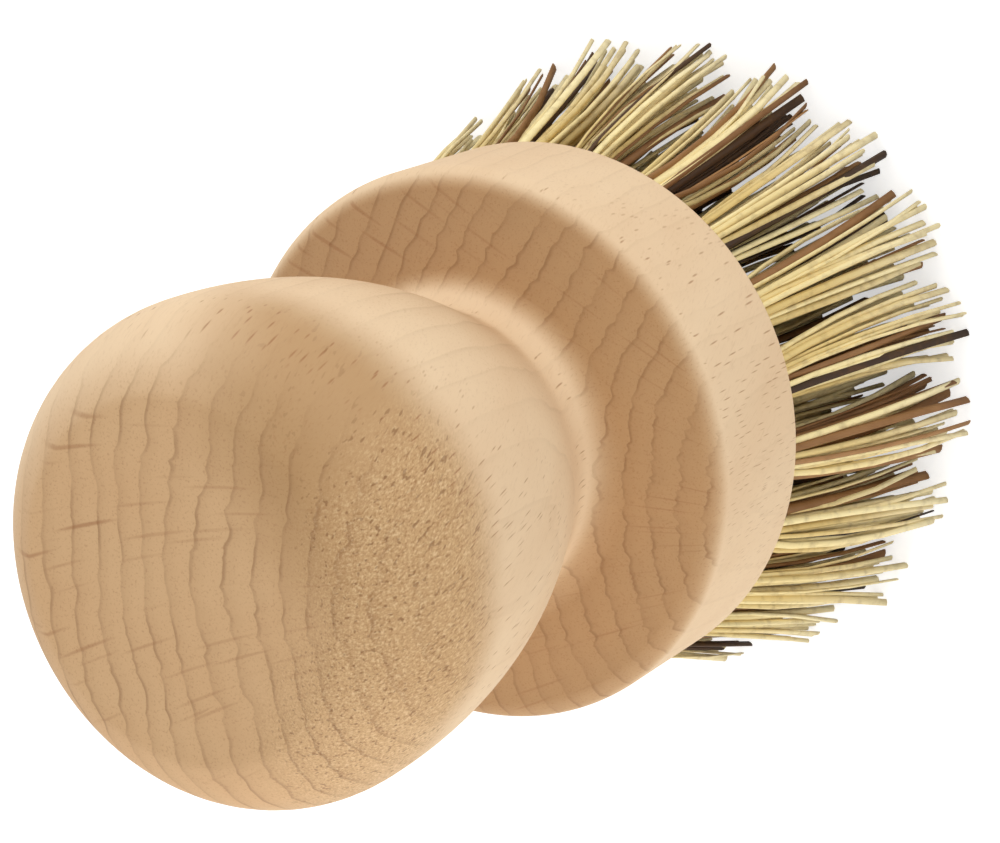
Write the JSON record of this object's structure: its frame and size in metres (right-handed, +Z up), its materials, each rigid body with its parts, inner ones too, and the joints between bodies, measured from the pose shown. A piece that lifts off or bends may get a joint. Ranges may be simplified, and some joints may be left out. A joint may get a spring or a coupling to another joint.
{
  "type": "palm brush",
  "caption": "Turned beech palm brush: a round knob and waisted neck above a disc head, with leaning tufts of stiff plant fibre spreading from its face.",
  "frame": {"origin": "on the turning axis, at the level of the bristle tips that the brush stands on", "axes": "+Z up the turning axis, from the bristle tips to the flat end of the knob"},
  "size_m": [0.0626, 0.0632, 0.0815],
  "materials": {
    "beech": "fine sanded, unvarnished",
    "plant_fibre": "dry natural fibre, straw with some brown",
    "anchor_wire": "plain flat wire"
  },
  "bodies": {
    "root": {"turned_handle": "beech", "turned_head": "beech", "tuft_outer_01": "plant_fibre", "tuft_outer_02": "plant_fibre", "tuft_outer_03": "plant_fibre", "tuft_outer_04": "plant_fibre", "tuft_outer_05": "plant_fibre", "tuft_outer_06": "plant_fibre", "tuft_outer_07": "plant_fibre", "tuft_outer_08": "plant_fibre", "tuft_outer_09": "plant_fibre", "tuft_outer_10": "plant_fibre", "tuft_outer_11": "plant_fibre", "tuft_outer_12": "plant_fibre", "tuft_outer_13": "plant_fibre", "tuft_outer_14": "plant_fibre", "tuft_outer_15": "plant_fibre", "tuft_outer_16": "plant_fibre", "tuft_outer_17": "plant_fibre", "tuft_outer_18": "plant_fibre", "tuft_outer_19": "plant_fibre", "tuft_outer_20": "plant_fibre", "tuft_middle_01": "plant_fibre", "tuft_middle_02": "plant_fibre", "tuft_middle_03": "plant_fibre", "tuft_middle_04": "plant_fibre", "tuft_middle_05": "plant_fibre", "tuft_middle_06": "plant_fibre", "tuft_middle_07": "plant_fibre", "tuft_middle_08": "plant_fibre", "tuft_middle_09": "plant_fibre", "tuft_middle_10": "plant_fibre", "tuft_middle_11": "plant_fibre", "tuft_middle_12": "plant_fibre", "tuft_middle_13": "plant_fibre", "tuft_middle_14": "plant_fibre", "tuft_inner_01": "plant_fibre", "tuft_inner_02": "plant_fibre", "tuft_inner_03": "plant_fibre", "tuft_inner_04": "plant_fibre", "tuft_inner_05": "plant_fibre", "tuft_inner_06": "plant_fibre", "tuft_inner_07": "plant_fibre", "tuft_inner_08": "plant_fibre", "tuft_centre": "plant_fibre", "tuft_anchors_outer": "anchor_wire", "tuft_anchors_middle": "anchor_wire", "tuft_anchors_inner": "anchor_wire", "tuft_anchors_centre": "anchor_wire"}
  },
  "joints": []
}
